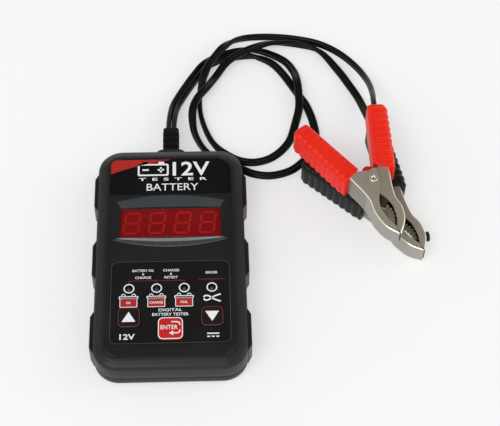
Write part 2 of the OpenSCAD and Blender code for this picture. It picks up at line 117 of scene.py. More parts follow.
def remap(tree, value, span, to):
    """The socket value, stretched from the two ends of span to the two ends of to."""
    stretch = tree.nodes.new("ShaderNodeMapRange")
    for socket, number in zip(("From Min", "From Max", "To Min", "To Max"), (*span, *to)):
        stretch.inputs[socket].default_value = number
    tree.links.new(value, stretch.inputs[0])
    return stretch.outputs[0]


def material(name, shade, other, rough, metal=0.0, grain=900.0, bump=0.05, coat=0.0, wear_and_highlight=None,
             edge_span=(0.54, 0.64), streak=None, spec=0.5, deep=0.00012, blotch=45.0):
    """Principled material: two shades mixed by a large noise, blotch, and a fine one, grain, uneven
    roughness, and a fine bump, deep metres high. The given paler edge shade on convex edges is real
    wear on some materials and a painted highlight on others, and grows over the given range of
    Pointiness; streak stretches the grain along an axis."""
    made = bpy.data.materials.new(name)
    made.use_nodes = True
    tree = made.node_tree
    link = tree.links.new
    shader = tree.nodes["Principled BSDF"]
    shader.inputs["Metallic"].default_value = metal
    shader.inputs["Coat Weight"].default_value = coat
    shader.inputs["Coat Roughness"].default_value = COAT_ROUGH
    shader.inputs["Specular IOR Level"].default_value = spec
    place = tree.nodes.new("ShaderNodeTexCoord").outputs["Object"]
    large = noise(tree, place, blotch, 4)
    if streak:
        stretch = tree.nodes.new("ShaderNodeMapping")
        stretch.inputs["Scale"].default_value = streak
        link(place, stretch.inputs["Vector"])
        place = stretch.outputs[0]
    fine = noise(tree, place, grain, 3)
    large_part = tree.nodes.new("ShaderNodeMath")
    large_part.operation = "MULTIPLY"
    large_part.inputs[1].default_value = 1 - FINE_SHARE
    link(large, large_part.inputs[0])
    both = tree.nodes.new("ShaderNodeMath")
    both.operation = "MULTIPLY_ADD"
    both.inputs[1].default_value = FINE_SHARE
    link(fine, both.inputs[0])
    link(large_part.outputs[0], both.inputs[2])
    ramp = tree.nodes.new("ShaderNodeValToRGB")
    for stop, at, tone in zip(ramp.color_ramp.elements, (0.35, 0.65), (shade, other)):
        stop.position = at
        stop.color = (*tone, 1)
    link(both.outputs[0], ramp.inputs[0])
    colour = ramp.outputs[0]
    if wear_and_highlight:
        bent = tree.nodes.new("ShaderNodeNewGeometry").outputs["Pointiness"]
        mix = tree.nodes.new("ShaderNodeMix")
        mix.data_type = "RGBA"
        mix.inputs["B"].default_value = (*wear_and_highlight, 1)
        link(remap(tree, bent, edge_span, (0, EDGE_COLOUR_MOST)), mix.inputs["Factor"])
        link(colour, mix.inputs["A"])
        colour = mix.outputs["Result"]
    link(colour, shader.inputs["Base Color"])
    uneven = remap(tree, both.outputs[0], (0.3, 0.7), (rough - ROUGH_SPREAD, rough + ROUGH_SPREAD))
    link(uneven, shader.inputs["Roughness"])
    relief = tree.nodes.new("ShaderNodeBump")
    relief.inputs["Strength"].default_value = bump
    relief.inputs["Distance"].default_value = deep
    link(fine, relief.inputs["Height"])
    link(relief.outputs[0], shader.inputs["Normal"])
    return made


CASE = material("case_satin", (0.0085, 0.0086, 0.0083), (0.0122, 0.0123, 0.0117), 0.42, grain=2600,
                bump=0.4, wear_and_highlight=(0.018, 0.018, 0.017), deep=0.00005, spec=0.30)
# recess walls: the case plastic made glossier, painted lighter and bluer as a reflection, with a painted
# highlight on their convex edges
SLOPE_SHEEN = material("case_polished_painted_sheen", (0.033, 0.040, 0.044), (0.041, 0.049, 0.053), 0.30, grain=2600,
                 bump=0.15, wear_and_highlight=(0.19, 0.205, 0.215), edge_span=(0.51, 0.56), deep=0.00004)
# strips of the recess wall next to the window: the case plastic with a painted highlight
GLINT = material("case_painted_glint", (0.17, 0.185, 0.195), (0.21, 0.225, 0.235), 0.28, grain=2600,
                 bump=0.1, deep=0.00004)
LABEL = material("label_gloss", (0.0030, 0.0031, 0.0030), (0.0048, 0.0048, 0.0046), 0.22, grain=1800,
                 bump=0.05, spec=0.4)
OVERLAY = material("overlay_film", (0.0040, 0.0040, 0.0039), (0.0062, 0.0062, 0.0060), 0.32, grain=2400,
                   bump=0.15, deep=0.00004, spec=0.45)
PLAIN = material("rear_label_foil", (0.36, 0.36, 0.37), (0.44, 0.44, 0.45), 0.42, metal=0.3, grain=900,
                 streak=(1, 12, 1), bump=0.08)
KEY = material("key_black_plastic", (0.0045, 0.0045, 0.0045), (0.0070, 0.0070, 0.0068), 0.33, grain=2200,
               bump=0.2, deep=0.00005)
KEY_RED = material("key_red_plastic", (0.50, 0.012, 0.012), (0.58, 0.018, 0.016), 0.35, grain=2200,
                   bump=0.15, deep=0.00005)
RUBBER = material("rubber_matt", (0.0026, 0.0026, 0.0025), (0.0044, 0.0044, 0.0041), 0.50, grain=3000,
                  bump=0.4, spec=0.14, deep=0.00005)
PAD = material("pad_rubber", (0.0060, 0.0060, 0.0058), (0.0090, 0.0090, 0.0086), 0.42, grain=3000,
               bump=0.2, spec=0.38, deep=0.00004)
PVC = material("lead_pvc_black", (0.0022, 0.0023, 0.0017), (0.0036, 0.0036, 0.0028), 0.30, grain=1500,
               bump=0.12, spec=0.14)
# jaw plates: nickel, with a painted highlight on their convex edges and folds
STEEL = material("jaw_nickel", (0.42, 0.375, 0.285), (0.48, 0.435, 0.34), 0.36, metal=0.55, grain=1400,
                 bump=0.2, blotch=70, wear_and_highlight=(0.86, 0.83, 0.74), edge_span=(0.545, 0.60), deep=0.00004)
# the upright webs and their ridges: the plates' nickel, painted darker and greyer as shade
SHADED_WEB = material("jaw_nickel_painted_shade", (0.34, 0.32, 0.29), (0.40, 0.38, 0.345), 0.40, metal=0.6, grain=1400,
               bump=0.25, blotch=70, deep=0.00004)
# a painted highlight along the middle of the jaw folds
FOLD_HIGHLIGHT = material("jaw_nickel_painted_highlight", (0.80, 0.77, 0.68), (0.90, 0.87, 0.78), 0.22, metal=0.7,
                  grain=1400, bump=0.1, blotch=70, deep=0.00004)
# teeth: nickel painted near black as the shade inside the jaws, with a painted highlight on their edges
SHADED_TOOTH = material("tooth_nickel_painted_shade", (0.10, 0.088, 0.070), (0.15, 0.135, 0.108), 0.18, metal=1.0, grain=1800,
                 bump=0.1, wear_and_highlight=(0.75, 0.73, 0.7), edge_span=(0.56, 0.64))
RIVET = material("rivet_bright", (0.58, 0.55, 0.50), (0.70, 0.67, 0.61), 0.22, metal=0.92, grain=1500,
                 bump=0.12)
SPRING = material("spring_wire", (0.34, 0.34, 0.33), (0.44, 0.44, 0.42), 0.28, metal=0.9, grain=1200,
                  bump=0.15)
COPPER = material("crimp_copper_tin", (0.60, 0.36, 0.20), (0.72, 0.44, 0.25), 0.3, metal=0.9, grain=1300,
                  bump=0.2)
RED = material("grip_red_vinyl", (0.76, 0.015, 0.004), (0.85, 0.022, 0.006), 0.40, grain=1300, bump=0.2,
               spec=0.2)
BUSH = material("bush_red_plastic", (0.50, 0.010, 0.008), (0.58, 0.016, 0.010), 0.35, grain=1300,
                bump=0.15)
BLACK = material("grip_black_vinyl", (0.0050, 0.0070, 0.0062), (0.0080, 0.0102, 0.0090), 0.42, grain=1300,
                 bump=0.25, spec=0.18)
WINDOW = material("window_red_film", (0.170, 0.0035, 0.005), (0.215, 0.0050, 0.006), 0.16, grain=500,
                  bump=0.02, spec=0.4, blotch=60)
SEGMENT = material("segment_unlit", (0.29, 0.008, 0.008), (0.36, 0.012, 0.010), 0.22, grain=700,
                   bump=0.03, spec=0.4)
MODULE = material("display_module_red", (0.11, 0.006, 0.008), (0.15, 0.008, 0.010), 0.3, grain=700,
                  bump=0.05)
LENS = material("led_lens_smoked", (0.016, 0.014, 0.014), (0.028, 0.020, 0.020), 0.14, grain=600,
                bump=0.02, coat=0.4)
WHITE = material("ink_white", (0.80, 0.82, 0.84), (0.88, 0.89, 0.90), 0.4, grain=3000, bump=0.05)
INK_RED = material("ink_red", (0.38, 0.014, 0.013), (0.45, 0.020, 0.017), 0.36, grain=3000, bump=0.05)
INK_DARK = material("ink_dark_red", (0.16, 0.018, 0.014), (0.21, 0.026, 0.018), 0.4, grain=3000,
                    bump=0.05)
# grey print, which also paints a highlight along the keypad's edge
INK_GREY_AND_HIGHLIGHT = material("ink_grey_and_painted_highlight", (0.05, 0.05, 0.053), (0.075, 0.075, 0.078), 0.4, grain=3000, bump=0.05)
BOARD = material("board_solder_mask", (0.012, 0.10, 0.035), (0.02, 0.16, 0.055), 0.3, grain=800, bump=0.1,
                 blotch=300)
CHIP = material("chip_epoxy", (0.014, 0.014, 0.015), (0.024, 0.024, 0.026), 0.55, grain=2500, bump=0.3)
SCREW = material("screw_zinc", (0.42, 0.42, 0.43), (0.55, 0.55, 0.56), 0.3, metal=0.92, grain=900,
                 bump=0.15)
CAN = material("capacitor_sleeve", (0.05, 0.06, 0.09), (0.08, 0.09, 0.13), 0.35, grain=900, bump=0.1)
CERAMIC = material("resistor_cement", (0.66, 0.63, 0.56), (0.78, 0.75, 0.68), 0.7, grain=1600, bump=0.5)
WIRE = material("wire_red_pvc", (0.40, 0.015, 0.015), (0.50, 0.022, 0.020), 0.38, grain=900, bump=0.1)


# ------------ mesh helpers, all in millimetres
def build(name, bm, paint, body, stands_for=(), angle=35, bevel=0.0, steps=3, limit=42):
    """Turns bm, in millimetres in the row frame, into a piece that rides on body. Edges sharper than
    limit degrees are rounded by bevel, and shading is smooth over edges of less than angle degrees,
    except on tagged faces, which stay flat."""
    bmesh.ops.recalc_face_normals(bm, faces=bm.faces)
    bmesh.ops.scale(bm, vec=(MM, MM, MM), verts=bm.verts)
    bm.faces.index_update()
    flat = {face.index for face in bm.faces if face.tag}
    mesh = bpy.data.meshes.new(name)
    bm.to_mesh(mesh)
    bm.free()
    mesh.polygons.foreach_set("use_smooth", [i not in flat for i in range(len(mesh.polygons))])
    mesh.set_sharp_from_angle(angle=radians(angle))
    mesh.materials.append(paint)
    piece = bpy.data.objects.new(name, mesh)
    scene.collection.objects.link(piece)
    if bevel:
        round_off = piece.modifiers.new("Rounding", "BEVEL")
        round_off.width = bevel * MM
        round_off.segments = steps
        round_off.limit_method = "ANGLE"
        round_off.angle_limit = radians(limit)
        round_off.harden_normals = False
        even = piece.modifiers.new("Normals", "WEIGHTED_NORMAL")
        even.keep_sharp = False
    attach(piece, body)
    if stands_for:
        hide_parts(*stands_for)
    return piece


def rounded(w, l, r, n=8, at=(0, 0)):
    """Outline of a w by l rectangle about at, its corners arcs of radius r in n pieces."""
    pts = []
    for qx, qy, a0 in ((1, 1, 0), (-1, 1, 90), (-1, -1, 180), (1, -1, 270)):
        for k in range(n + 1):
            a = radians(a0 + 90 * k / n)
            pts.append((at[0] + qx * (w / 2 - r) + r * cos(a), at[1] + qy * (l / 2 - r) + r * sin(a)))
    return pts


def circle(r, n=24, at=(0, 0)):
    """Outline of a circle about at, with n points."""
    return [(at[0] + r * cos(2 * pi * k / n), at[1] + r * sin(2 * pi * k / n)) for k in range(n)]


def raised(pts, z):
    """The outline pts at height z."""
    return [(x, y, z) for x, y in pts]


def row(bm, pts, z=None):
    """New vertices at pts, which are flat points where z is given."""
    return [bm.verts.new(p if z is None else (p[0], p[1], z)) for p in pts]


def strip(bm, a, b, paint=0, closed=True):
    """Faces between two rows of as many vertices, in the material slot paint."""
    n = len(a)
    for k in range(n if closed else n - 1):
        j = (k + 1) % n
        bm.faces.new((a[k], a[j], b[j], b[k])).material_index = paint


def skin(bm, rings, capped=True):
    """Surface through rings of points, closed at both ends where capped; returns the last row."""
    rows = [row(bm, ring) for ring in rings]
    for a, b in zip(rows, rows[1:]):
        strip(bm, a, b)
    if capped:
        bm.faces.new(rows[0])
        bm.faces.new(rows[-1])
    return rows[-1]


def fill(bm, *loops):
    """Flat, flat-shaded fill of the first loop less the others."""
    edges = []
    for loop in loops:
        for k, v in enumerate(loop):
            w = loop[(k + 1) % len(loop)]
            edges.append(bm.edges.get((v, w)) or bm.edges.new((v, w)))
    made = bmesh.ops.triangle_fill(bm, edges=edges, use_beauty=True, use_dissolve=False, normal=(0, 0, 1))
    for item in made["geom"]:
        if isinstance(item, bmesh.types.BMFace):
            item.tag = True


def prism(bm, pts, z0, z1, holes=()):
    """Closed plate with the outline pts, and holes."""
    low = [row(bm, loop, z0) for loop in (pts, *holes)]
    high = [row(bm, loop, z1) for loop in (pts, *holes)]
    for a, b in zip(low, high):
        strip(bm, a, b)
    if holes:
        fill(bm, *low)
        fill(bm, *high)
    else:
        bm.faces.new(low[0])
        bm.faces.new(high[0])


def lathe(bm, profile, n=40, at=(0, 0)):
    """Turned solid through the pairs of radius and height of profile."""
    skin(bm, [raised(circle(r, n, at), z) for r, z in profile])


def curve_through(p, steps):
    """Catmull-Rom curve through the points p, with steps pieces between neighbours."""
    p = [Vector(q) for q in p]
    out = []
    for i in range(len(p) - 1):
        a, b, c, d = p[max(i - 1, 0)], p[i], p[i + 1], p[min(i + 2, len(p) - 1)]
        for k in range(steps):
            t = k / steps
            out.append(0.5 * (2 * b + (c - a) * t + (2 * a - 5 * b + 4 * c - d) * t * t
                              + (3 * b - a - 3 * c + d) * t ** 3))
    return out + [p[-1]]


def sweep(bm, path, section):
    """section, a list of x, y, carried along path, a list of x, y, z and roll in degrees."""
    path = [Vector(p) for p in path]
    rings = []
    for i, p in enumerate(path):
        before, after = path[max(i - 1, 0)], path[min(i + 1, len(path) - 1)]
        ahead = (after - before).xyz.normalized()
        side = ahead.cross(Vector((0, 0, 1))).normalized()
        rise = side.cross(ahead)
        c, s = cos(radians(p.w)), sin(radians(p.w))
        rings.append([p.xyz + (side * (x * c - y * s) + rise * (x * s + y * c)) for x, y in section])
    skin(bm, rings)


def moved(bm, matrix):
    """Moves all of bm by matrix."""
    bmesh.ops.transform(bm, matrix=matrix, verts=bm.verts)


def softened(node, paint, body, width):
    """The node's own shape with its sharp edges rounded off."""
    bm = bmesh.new()
    bm.from_mesh(nodes[node].data)
    bmesh.ops.scale(bm, vec=(1 / MM, 1 / MM, 1 / MM), verts=bm.verts)
    bmesh.ops.remove_doubles(bm, verts=bm.verts, dist=1e-4)
    bmesh.ops.dissolve_limit(bm, angle_limit=radians(0.6), verts=bm.verts, edges=bm.edges)
    build(node + "_fine", bm, paint, body, (node,), bevel=width)


def paint_node(node, paint):
    """Gives a node that is shown with its CAD shape the material paint."""
    mesh = nodes[node].data
    mesh.materials.clear()
    mesh.materials.append(paint)


# ------------ the two leads
# section of a flat twin lead: two round cores side by side, joined over a narrow groove
CORE_R, CORE_OFF = 1.3, 0.9
LOBE_STEPS, GROOVE = 14, 4
SPAN = degrees(acos(-CORE_OFF / CORE_R)) - GROOVE
lobe_angles = [radians(-SPAN + 2 * SPAN * k / LOBE_STEPS) for k in range(LOBE_STEPS + 1)]
lobe = [(CORE_OFF + CORE_R * cos(a), CORE_R * sin(a)) for a in lobe_angles]
TWIN = lobe + [(-x, -y) for x, y in lobe]

# points of each lead: x, y, z, and how far its flat section is rolled, in degrees
RED_ROUTE = [
    (-1.4, 82, 8, 90), (-0.9, 92, 6, 90), (0.6, 102, 3.4, 90), (4.8, 112, 2.3, 90),
    (12, 124.6, 2.3, 90), (17.9, 132.6, 2.3, 90), (28, 138.5, 2.3, 90), (39, 141.5, 2.3, 80),
    (50, 140.8, 1.7, 15), (61, 134.6, 1.5, 0), (66, 126, 2.6, 0), (67.6, 117, 4.6, 0),
    (68, 108, 4.6, 0), (67.8, 99.5, 4, 0), (65.6, 91, 1.8, 0), (61.5, 78.5, 1.4, 0),
    (53.6, 69.4, 1.4, 0), (44.5, 65.6, 1.4, 0), (35.6, 66.4, 1.4, 20), (28.6, 70.2, 2, 60),
    (22.8, 76, 2.3, 90), (18.6, 84.5, 2.3, 90), (15.6, 96, 2.3, 90), (15, 106.5, 2.5, 80),
    (15.6, 113.5, 2.8, 60), (17.3, 120, 5.6, 10), (20, 127.6, 6.4, 0), (23.8, 134, 6.4, 0),
    (28.4, 140.6, 6.3, 0), (34.4, 146.8, 4.4, 60), (43, 150.8, 2.4, 85), (56, 151, 2.3, 90),
    (69, 149.2, 2.3, 90), (81, 145.6, 2.3, 90), (91.5, 138.6, 2.4, 90), (100, 128.4, 3, 90),
    (105, 115.5, 6.5, 90), (106, 101.5, 13.6, 90), (105, 88, 21.4, 90), (105, 75.5, 22.8, 90)]
BLACK_ROUTE = [
    (1.4, 82, 8, 90), (1.9, 92, 6, 90), (3.4, 101.3, 3.4, 90), (7.4, 110.6, 2.3, 90),
    (14.4, 122.9, 2.3, 90), (19.9, 130.4, 2.3, 90), (29.2, 135.5, 2.3, 90), (41.6, 137.4, 2.3, 80),
    (48.4, 136, 1.9, 30), (54.8, 132.4, 1.5, 5), (60.5, 124.8, 1.4, 0), (68.4, 109.6, 1.4, 0),
    (72, 102.3, 1.4, 0), (74.9, 91, 1.4, 0), (75.6, 80, 1.4, 0), (72.8, 71.5, 1.4, 0),
    (67.8, 65, 1.4, 0), (61, 59.5, 1.4, 0), (51.6, 56.8, 1.4, 0), (43, 57.8, 1.4, 0),
    (36.2, 61, 1.4, 20), (29.8, 64, 2, 50), (23, 67.6, 2.3, 90), (16.8, 74, 2.3, 90),
    (12.6, 83, 2.4, 70), (11.2, 90.5, 3.6, 40), (11.4, 97.8, 5.8, 0), (14, 105, 6.5, 0),
    (18.8, 112, 6.3, 0), (23.6, 121.2, 3.8, 10), (29.8, 129.4, 6.2, 0), (37, 135.4, 6.4, 0),
    (45.6, 140.2, 6.3, 0), (55.4, 144.6, 4.6, 45), (69.8, 145.3, 2.3, 90), (81.4, 140.4, 1.8, 45),
    (90.5, 127, 1.4, 0), (95.6, 117, 1.4, 0), (99.8, 107, 2.2, 0), (102.3, 96.5, 4.6, 0),
    (104.3, 86.4, 7.2, 0), (106.8, 73.8, 7.5, 0)]

for hue, route in (("red", RED_ROUTE), ("black", BLACK_ROUTE)):
    path = curve_through(route, 6)
    bm = bmesh.new()
    sweep(bm, path, TWIN)
    piece = build(f"twin_lead_{hue}", bm, PVC, "tester", (f"lead_{hue}",), angle=60)

# ------------ case
# width, length and corner radius; heights of the sunk face, the joint of the shells and the floor of
# the openings; width of the rim, corner radius of the face, and rounding of the rear edge
W, L, R = 72, 124, 12
FACE_Z, SPLIT_Z, WELL_Z = 18.5, 8, 16.5
RIM, FACE_R, REAR_R = 5.6, 7.4, 5
LED_Y, LED_HOLE_R = -20.2, 1.75
LED_XS = (-19.5, -6.5, 6.5, 19.5)
# x, y and width of each key
KEYS = {"key_up": (-19.4, -35.8, 10.6), "key_down": (19.4, -35.8, 10.6), "key_enter": (0, -42, 11.8)}
KEY_GAP, KEY_HOLE_R = 0.3, 2.6
# inset from the sides, and height, from the joint of the shells over the rim to the sunk face
FRONT_PROFILE = ((2, SPLIT_Z), (0.42, SPLIT_Z), (0.1, 8.12), (0, 8.45), (0, 11), (0, 14.5), (0.06, 15.8),
                 (0.26, 16.5), (0.65, 17.05), (1.25, 17.45), (2.1, 17.85), (3.1, 18.3), (4.0, 18.66),
                 (4.7, 18.88), (5.2, 18.97), (5.45, 18.93), (RIM, 18.8))
REAR_PROFILE = ((2, SPLIT_Z), (0.42, SPLIT_Z), (0.1, 7.88), (0, 7.55), (0, REAR_R))
# recess of the display: an arch above the window, a shallow crescent below it
COLS, ROWS = 40, 6
WIN_X, WIN_TOP, WIN_LOW, WIN_Z = 24.65, 26.1, 9.7, 17.2
# half width, y of the ends, and rise of each arc
ARC_TOP, ARC_LOW = (26.3, 30, 3.5), (28, 7.5, -4.3)
# material slots of the front shell: the plain case, the painted sheen of the recess walls, and their painted
# highlight
PLAIN_SLOT, SHEEN_SLOT, GLINT_SLOT = 0, 1, 2


def case_ring(inset, z, r=None):
    """Outline of the case, inset from its sides; r is a corner radius other than the concentric one."""
    return raised(rounded(W - 2 * inset, L - 2 * inset, r or R - inset, 16), z)


def slope(bm, far, near, power, glints):
    """Wall of the recess from the row far, on the face, down to the points near. Its strip beside the
    window is plain, as many as glints above that one carry a painted highlight, and the others are
    polished and painted lighter as a reflection."""
    rows = [far]
    for j in range(1, ROWS + 1):
        v = j / ROWS
        made = []
        for a, (x, y, z) in zip(far, near):
            p = a.co.lerp(Vector((x, y, FACE_Z)), v)
            p.z = FACE_Z - (FACE_Z - z) * v ** power
            made.append(bm.verts.new(p))
        rows.append(made)
    for j, (a, b) in enumerate(zip(rows, rows[1:])):
        left = ROWS - 1 - j
        slot = PLAIN_SLOT if left == 0 else GLINT_SLOT if left <= glints else SHEEN_SLOT
        strip(bm, a, b, slot, closed=False)
    return rows


def arc(bm, places, half, y, rise):
    """Row of vertices on the face along an arc, at places from -1 to 1 across it."""
    return [bm.verts.new((half * u, y + rise * (1 - u * u), FACE_Z)) for u in places]


def recess(bm):
    """Recess round the display window; returns its edge on the face."""
    across = [1 - 2 * k / COLS for k in range(COLS + 1)]
    back = [-u for u in across]
    arc_top = arc(bm, across, *ARC_TOP)
    arc_low = arc(bm, back, *ARC_LOW)
    corner = {}
    for side in (-1, 1):
        corner[side, 1] = bm.verts.new((side * WIN_X, WIN_TOP, FACE_Z))
        corner[side, -1] = bm.verts.new((side * WIN_X, WIN_LOW, FACE_Z))
    top_rows = slope(bm, arc_top, raised([(WIN_X * u, WIN_TOP) for u in across], WIN_Z), 1.15, 0)
    low_rows = slope(bm, arc_low, raised([(WIN_X * u, WIN_LOW) for u in back], WIN_Z), 2.0, 2)
    for side, top_end, low_end in ((1, 0, -1), (-1, -1, 0)):
        a = [r[top_end] for r in top_rows]
        b = [r[low_end] for r in low_rows]
        bm.faces.new([corner[side, 1], *a])
        bm.faces.new([corner[side, -1], *b])
        bm.faces.new([corner[side, 1], corner[side, -1], b[-1], a[-1]])
    return [*arc_top, corner[-1, 1], corner[-1, -1], *arc_low, corner[1, -1], corner[1, 1]]


def well(bm, outline):
    """Straight walls of an opening in the face; returns its edge on the face."""
    top, low = row(bm, outline, FACE_Z), row(bm, outline, WELL_Z)
    strip(bm, top, low)
    return top


bm = bmesh.new()
edge = skin(bm, [*(case_ring(*p) for p in FRONT_PROFILE), case_ring(RIM + 0.06, FACE_Z, FACE_R)], False)
holes = [recess(bm)]
for x, y, w in KEYS.values():
    holes.append(well(bm, rounded(w + 2 * KEY_GAP, w + 2 * KEY_GAP, KEY_HOLE_R, at=(x, y))))
for x in LED_XS:
    holes.append(well(bm, circle(LED_HOLE_R, at=(x, LED_Y))))
fill(bm, edge, *holes)
shell = build("front_shell_moulded", bm, CASE, "tester", ("front_shell",), angle=38)
shell.data.materials.append(SLOPE_SHEEN)
shell.data.materials.append(GLINT)

# rear shell, with a shallow pit for its label and a pocket for each screw
SCREWS_AT = [(x, y) for x in (-27, 27) for y in (-50.5, 50.5)]
SCREW_HOLE_R, PIT_DEEP = 3.1, 0.4
bm = bmesh.new()
turns = [radians(a) for a in range(10, 91, 10)]
rings = [case_ring(*p) for p in REAR_PROFILE]
rings += [case_ring(REAR_R * (1 - cos(a)), REAR_R * (1 - sin(a))) for a in turns]
edge = skin(bm, rings, False)
pit = rounded(46, 30, 2, at=(0, 8))
low, high = row(bm, pit, 0), row(bm, pit, PIT_DEEP)
strip(bm, low, high)
fill(bm, high)
holes = [low]
for at in SCREWS_AT:
    mouth = row(bm, circle(SCREW_HOLE_R + 0.2, 32, at), 0)
    neck, end = [row(bm, circle(SCREW_HOLE_R, 32, at), z) for z in (0.2, 2)]
    strip(bm, mouth, neck)
    strip(bm, neck, end)
    fill(bm, end)
    holes.append(mouth)
fill(bm, edge, *holes)
build("rear_shell_moulded", bm, CASE, "tester", ("rear_shell",), angle=38)

# ------------ display window and its digits
WIN_Y = (WIN_TOP + WIN_LOW) / 2
DIGIT_XS = (-18.8, -6.5, 5.9, 18.2)
DIGIT_W, DIGIT_H, BAR_W, BAR_GAP, SLANT = 8.1, 13, 1.25, 0.28, 0.13
bm = bmesh.new()
prism(bm, rounded(2 * WIN_X + 0.2, WIN_TOP - WIN_LOW + 0.4, 0.3, 4, (0, WIN_Y)), WELL_Z, WIN_Z)
build("display_window_plate", bm, WINDOW, "tester", ("display_window",), bevel=0.1, steps=2)


def digit_bars(cx, cy):
    """Outlines of the seven pointed bars of a digit about cx, cy, slanted to the right."""
    side, top, k = DIGIT_W / 2, DIGIT_H / 2, BAR_W / 2
    tip, flat = side - k - BAR_GAP, side - BAR_W - BAR_GAP
    bars = []
    for y in (top - k, 0, k - top):
        bars.append([(-tip, y), (-flat, y + k), (flat, y + k), (tip, y), (flat, y - k), (-flat, y - k)])
    for x in (k - side, side - k):
        for lo, hi in ((BAR_GAP, top - k - BAR_GAP), (k + BAR_GAP - top, -BAR_GAP)):
            right_side = [(x, lo), (x + k, lo + k), (x + k, hi - k)]
            bars.append([*right_side, (x, hi), (x - k, hi - k), (x - k, lo + k)])
    return [[(cx + x + SLANT * y, cy + y) for x, y in bar] for bar in bars]


bm = bmesh.new()
for x in DIGIT_XS:
    for bar in digit_bars(x, WIN_Y):
        prism(bm, bar, WIN_Z - 0.05, WIN_Z + 0.03)
build("display_segments", bm, SEGMENT, "tester")

# ------------ labels, keys and lights
# inset and height of a key's rings, from its flange to its rounded top
KEY_PROFILE = ((0, 16.2), (0, 18.6), (0.08, 18.8), (0.25, 18.94), (0.5, 19))
FLANGE_Z = (15.9, 16.2)
LENS_R, LENS_Z = 1.5, 17.1
paint_node("top_label", LABEL)
paint_node("keypad_overlay", OVERLAY)
paint_node("rear_label", PLAIN)
paint_node("led_display", MODULE)
for name, body, paint, slot in (("key_up", "up_key", KEY, "key_black"),
                                ("key_down", "down_key", KEY, "key_black"),
                                ("key_enter", "enter_key", KEY_RED, "key_red")):
    x, y, w = KEYS[name]
    bm = bmesh.new()
    skin(bm, [raised(rounded(w - 2 * d, w - 2 * d, 2.4 - d, at=(x, y)), z) for d, z in KEY_PROFILE])
    skin(bm, [raised(rounded(w + 2.4, w + 2.4, 2.8, at=(x, y)), z) for z in FLANGE_Z])
    lathe(bm, ((2, 15.2), (2, 16.1)), 24, (x, y))
    build(name + "_cap", bm, paint, body, (name,), angle=50)
dome = [(LENS_R * cos(radians(a)), LENS_Z + LENS_R * sin(radians(a))) for a in range(0, 90, 10)]
for i, x in enumerate(LED_XS):
    bm = bmesh.new()
    lathe(bm, [(1.9, 11.2), (1.9, 12.2), (LENS_R, 12.2), *dome, (0.12, LENS_Z + LENS_R)], 32, (x, LED_Y))
    build(f"indicator_lens_{i + 1}", bm, LENS, "tester", (f"indicator_led_{i + 1}",), angle=40)

# ------------ side pads and boot
# inner face, half length, heights and middles of the pads, and number and pitch of their ribs
PAD_X, PAD_HALF, PAD_Z = 35.3, 11, (3, 16)
PAD_YS = (37.5, -2, -41.5)
PAD_RIBS, PAD_PITCH, RIB_STEPS = 13, 1.3, 8


def pad_outline(sign, y):
    """Pad seen from above: thin at both ends, with a row of round ribs between them."""
    reach = PAD_RIBS * PAD_PITCH / 2
    wave = [(2 + 0.38 * abs(sin(pi * k / RIB_STEPS)), PAD_PITCH * k / RIB_STEPS - reach)
            for k in range(RIB_STEPS * PAD_RIBS + 1)]
    pts = [(0, -PAD_HALF), (0.6, -PAD_HALF), (0.8, 0.2 - PAD_HALF), *wave, (0.8, PAD_HALF - 0.2),
           (0.6, PAD_HALF), (0, PAD_HALF)]
    return [(sign * (PAD_X + px), y + py) for px, py in pts]


for sign, side in ((-1, "left"), (1, "right")):
    for i, y in enumerate(PAD_YS):
        bm = bmesh.new()
        prism(bm, pad_outline(sign, y), *PAD_Z)
        build(f"side_grip_{side}_{i + 1}_ribbed", bm, PAD, "tester",
              (f"side_grip_{side}_{i + 1}",), bevel=0.2, steps=2, angle=40, limit=60)

# y, width, height and corner radius of the flange against the case
BOOT_FLANGE = ((60.5, 15.6, 9.4, 2.2), (62.2, 16.3, 10, 2.2), (63, 16.5, 10, 2.2), (64.2, 15.6, 9.6, 2.2),
               (65.4, 13.9, 8.8, 2.2), (65.9, 12.9, 8.2, 2.2), (66.1, 11.6, 7, 2))
FLANGE_MID, STEM_MID = 9, 8
# y from a rib's middle, width and height of one rib of the stem, and y, width and height of its end
STEM_RIB = ((-1.35, 7.1, 5.4), (-1.2, 7.6, 5.8), (-1.0, 8.25, 6.3), (-0.7, 8.4, 6.4),
            (0.7, 8.4, 6.4), (1.0, 8.25, 6.3), (1.2, 7.6, 5.8), (1.35, 7.1, 5.4))
STEM_END = ((80.2, 7.1, 5.4), (80.4, 7.8, 5.8), (80.7, 8.1, 6), (81.5, 8, 6), (81.9, 7.5, 5.6), (82, 7, 5.2))


def boot_ring(y, w, h, r, middle):
    """Upright rounded w by h outline at y, about the height middle."""
    return [(px, y, middle + pz) for px, pz in rounded(w, h, r, 6)]


bm = bmesh.new()
skin(bm, [boot_ring(*ring, FLANGE_MID) for ring in BOOT_FLANGE])
ribs = [(67.5 + 3.6 * k + dy, w, h) for k in range(4) for dy, w, h in STEM_RIB]
skin(bm, [boot_ring(*ring, 1.5, STEM_MID) for ring in ((64, 7.2, 5.6), *ribs, *STEM_END)])
build("cable_boot_ribbed", bm, RUBBER, "tester", ("cable_boot",), angle=40)

# ------------ clamps
# each in its own frame: rivet at the origin, tip towards -Y, and the moving half on the left
at_red = Matrix.Translation((99.5, 33.5, 15.3)) @ Matrix.Rotation(radians(20), 4, "Z")
at_black = Matrix.Translation((108, 31.5, 0)) @ Matrix.Rotation(radians(29.5), 4, "Z")
to_handle = Matrix.Translation((-9, 5, 0)) @ Matrix.Rotation(radians(18.4), 4, "Z")
flip = Matrix.Scale(-1, 4, (1, 0, 0))
